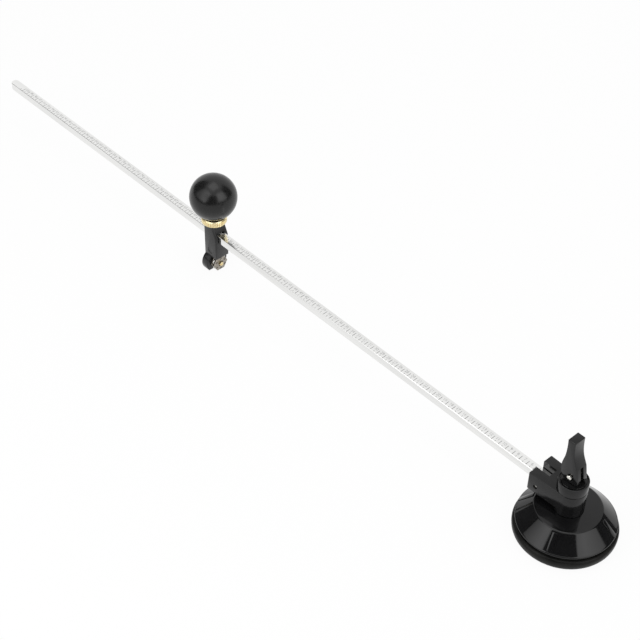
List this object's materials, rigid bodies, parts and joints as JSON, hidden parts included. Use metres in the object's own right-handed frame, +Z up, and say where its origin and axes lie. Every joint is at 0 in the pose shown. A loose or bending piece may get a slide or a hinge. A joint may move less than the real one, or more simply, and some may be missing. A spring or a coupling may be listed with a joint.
{
  "type": "circle cutter",
  "caption": "Compass-style glass circle cutter: suction cup with cam lever, swivel arm, long scale bar and a sliding head with a ball clamp and cutting wheels on a turret.",
  "frame": {"origin": "the suction cup's axis on the glass, which is the plane z = 0", "axes": "+Z up from the glass along the cup's axis, -X along the bar from the cup to its free end, +Y to the bar's far side as pictured"},
  "size_m": [0.5436, 0.058, 0.0711],
  "materials": {
    "cup_rubber": "matte",
    "housing_plastic": "gloss",
    "arm_plastic": "satin",
    "ball_plastic": "satin",
    "head_metal": "satin",
    "polished_steel": "polished",
    "turret_steel": "oiled",
    "brass": "bright"
  },
  "bodies": {
    "base": {"rubber_cup": "cup_rubber", "cup_housing": "housing_plastic", "retaining_collar": "arm_plastic"},
    "stem": {"cup_stem": "polished_steel"},
    "lever": {"cam_lever": "arm_plastic", "lever_pin": "polished_steel"},
    "arm": {"swivel_arm": "arm_plastic", "bar_pin": "polished_steel", "scale_bar": "polished_steel"},
    "head": {"head_body": "head_metal", "turret_screw": "brass"},
    "pad": {"pressure_pad": "brass"},
    "knob": {"clamp_stud": "polished_steel", "ball_knob": "ball_plastic"},
    "nut": {"lock_nut": "brass"},
    "turret": {"wheel_turret": "turret_steel", "wheel_axle_1": "turret_steel", "wheel_axle_2": "turret_steel", "wheel_axle_3": "turret_steel", "wheel_axle_4": "turret_steel", "wheel_axle_5": "turret_steel", "wheel_axle_6": "turret_steel"},
    "wheel_1": {"cutting_wheel_1": "polished_steel"},
    "wheel_2": {"cutting_wheel_2": "polished_steel"},
    "wheel_3": {"cutting_wheel_3": "polished_steel"},
    "wheel_4": {"cutting_wheel_4": "polished_steel"},
    "wheel_5": {"cutting_wheel_5": "polished_steel"},
    "wheel_6": {"cutting_wheel_6": "polished_steel"}
  },
  "joints": [
    {"name": "lever_pivot", "type": "hinge", "parent": "stem", "child": "lever", "pos_m": [0, 0, 0.0462], "axis": [0, -1, 0], "range_deg": [0, 90]},
    {"name": "stem_lift", "type": "slide", "parent": "base", "child": "stem", "axis": [0, 0, 1], "range_m": [0, 0.0024], "deforming": ["rubber_cup"]},
    {"name": "bar_swivel", "type": "hinge", "parent": "base", "child": "arm", "pos_m": [0, 0, 0.0275], "axis": [0, 0, 1], "continuous": true},
    {"name": "head_slide", "type": "slide", "parent": "arm", "child": "head", "axis": [1, 0, 0], "range_m": [-0.2067, 0.2513]},
    {"name": "knob_turn", "type": "hinge", "parent": "pad", "child": "knob", "pos_m": [-0.2933, 0, 0.055], "axis": [0, 0, 1], "range_deg": [0, 360]},
    {"name": "pad_lift", "type": "slide", "parent": "head", "child": "pad", "axis": [0, 0, 1], "range_m": [0, 0.0008]},
    {"name": "nut_turn", "type": "hinge", "parent": "head", "child": "nut", "pos_m": [-0.2933, 0, 0.0394], "axis": [0, 0, 1], "range_deg": [0, 180]},
    {"name": "turret_index", "type": "hinge", "parent": "head", "child": "turret", "pos_m": [-0.2899, 0, 0.0054], "axis": [1, 0, 0], "continuous": true},
    {"name": "wheel_spin_1", "type": "hinge", "parent": "turret", "child": "wheel_1", "pos_m": [-0.2899, 0, 0.0016], "axis": [1, 0, 0], "continuous": true},
    {"name": "wheel_spin_2", "type": "hinge", "parent": "turret", "child": "wheel_2", "pos_m": [-0.2899, 0.00329, 0.0035], "axis": [1, 0, 0], "continuous": true},
    {"name": "wheel_spin_3", "type": "hinge", "parent": "turret", "child": "wheel_3", "pos_m": [-0.2899, 0.00329, 0.0073], "axis": [1, 0, 0], "continuous": true},
    {"name": "wheel_spin_4", "type": "hinge", "parent": "turret", "child": "wheel_4", "pos_m": [-0.2899, 0, 0.0092], "axis": [1, 0, 0], "continuous": true},
    {"name": "wheel_spin_5", "type": "hinge", "parent": "turret", "child": "wheel_5", "pos_m": [-0.2899, -0.00329, 0.0073], "axis": [1, 0, 0], "continuous": true},
    {"name": "wheel_spin_6", "type": "hinge", "parent": "turret", "child": "wheel_6", "pos_m": [-0.2899, -0.00329, 0.0035], "axis": [1, 0, 0], "continuous": true}
  ],
  "couplings": [
    {"joint": "lever_pivot", "follows": "stem_lift", "rad_per_m": 654.5},
    {"joint": "knob_turn", "follows": "pad_lift", "rad_per_m": 7854}
  ]
}
